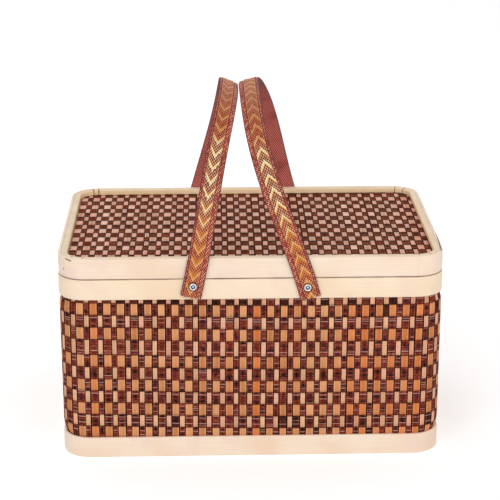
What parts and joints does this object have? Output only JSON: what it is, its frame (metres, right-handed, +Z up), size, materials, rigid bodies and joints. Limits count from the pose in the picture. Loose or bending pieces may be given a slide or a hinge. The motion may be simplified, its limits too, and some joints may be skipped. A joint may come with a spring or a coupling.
{
  "type": "lidded woven basket",
  "caption": "Rectangular picnic basket of woven bamboo matting held by bent wooden bands, with a lift-off lid and riveted strap handles that swing.",
  "frame": {"origin": "on the ground under the middle of the basket", "axes": "+X along the long sides to the right, -Y is the front, +Z up"},
  "size_m": [0.4, 0.2802, 0.3768],
  "materials": {
    "band_wood": "smooth pale bent wood, fine straight grain, matt",
    "inner_wood": "plain bent wood, matt",
    "board": "thin unfinished board",
    "woven_mat": "light and dark bamboo strips woven in a check, satin",
    "strap": "red-brown twill webbing",
    "ribbon": "woven ribbon with gold chevrons",
    "rivet_metal": "bright nickel plate"
  },
  "bodies": {
    "basket": {"bottom_outer_band": "band_wood", "bottom_inner_band": "inner_wood", "rim_outer_band": "band_wood", "rim_inner_band": "inner_wood", "wall_mat": "woven_mat", "floor_board": "board", "floor_mat": "woven_mat", "rivet_front_left": "rivet_metal", "rivet_front_right": "rivet_metal", "rivet_back_left": "rivet_metal", "rivet_back_right": "rivet_metal", "washer_front_left": "rivet_metal", "washer_front_right": "rivet_metal", "washer_back_left": "rivet_metal", "washer_back_right": "rivet_metal"},
    "lid": {"lid_outer_band": "band_wood", "lid_top_hoop": "band_wood", "lid_liner_hoop": "inner_wood", "lid_mat": "woven_mat", "lid_board": "board"},
    "left_handle": {"left_strap": "strap", "left_ribbon": "ribbon"},
    "right_handle": {"right_strap": "strap", "right_ribbon": "ribbon"}
  },
  "joints": [
    {"name": "lid_lift", "type": "slide", "parent": "basket", "child": "lid", "axis": [0, 0, 1], "range_m": [0, 0.01]},
    {"name": "left_handle_swing", "type": "hinge", "parent": "basket", "child": "left_handle", "pos_m": [-0.06, 0, 0.1917], "axis": [0, -1, 0], "range_deg": [0, 53]},
    {"name": "right_handle_swing", "type": "hinge", "parent": "basket", "child": "right_handle", "pos_m": [0.0573, 0, 0.1897], "axis": [0, 1, 0], "range_deg": [0, 57]}
  ]
}
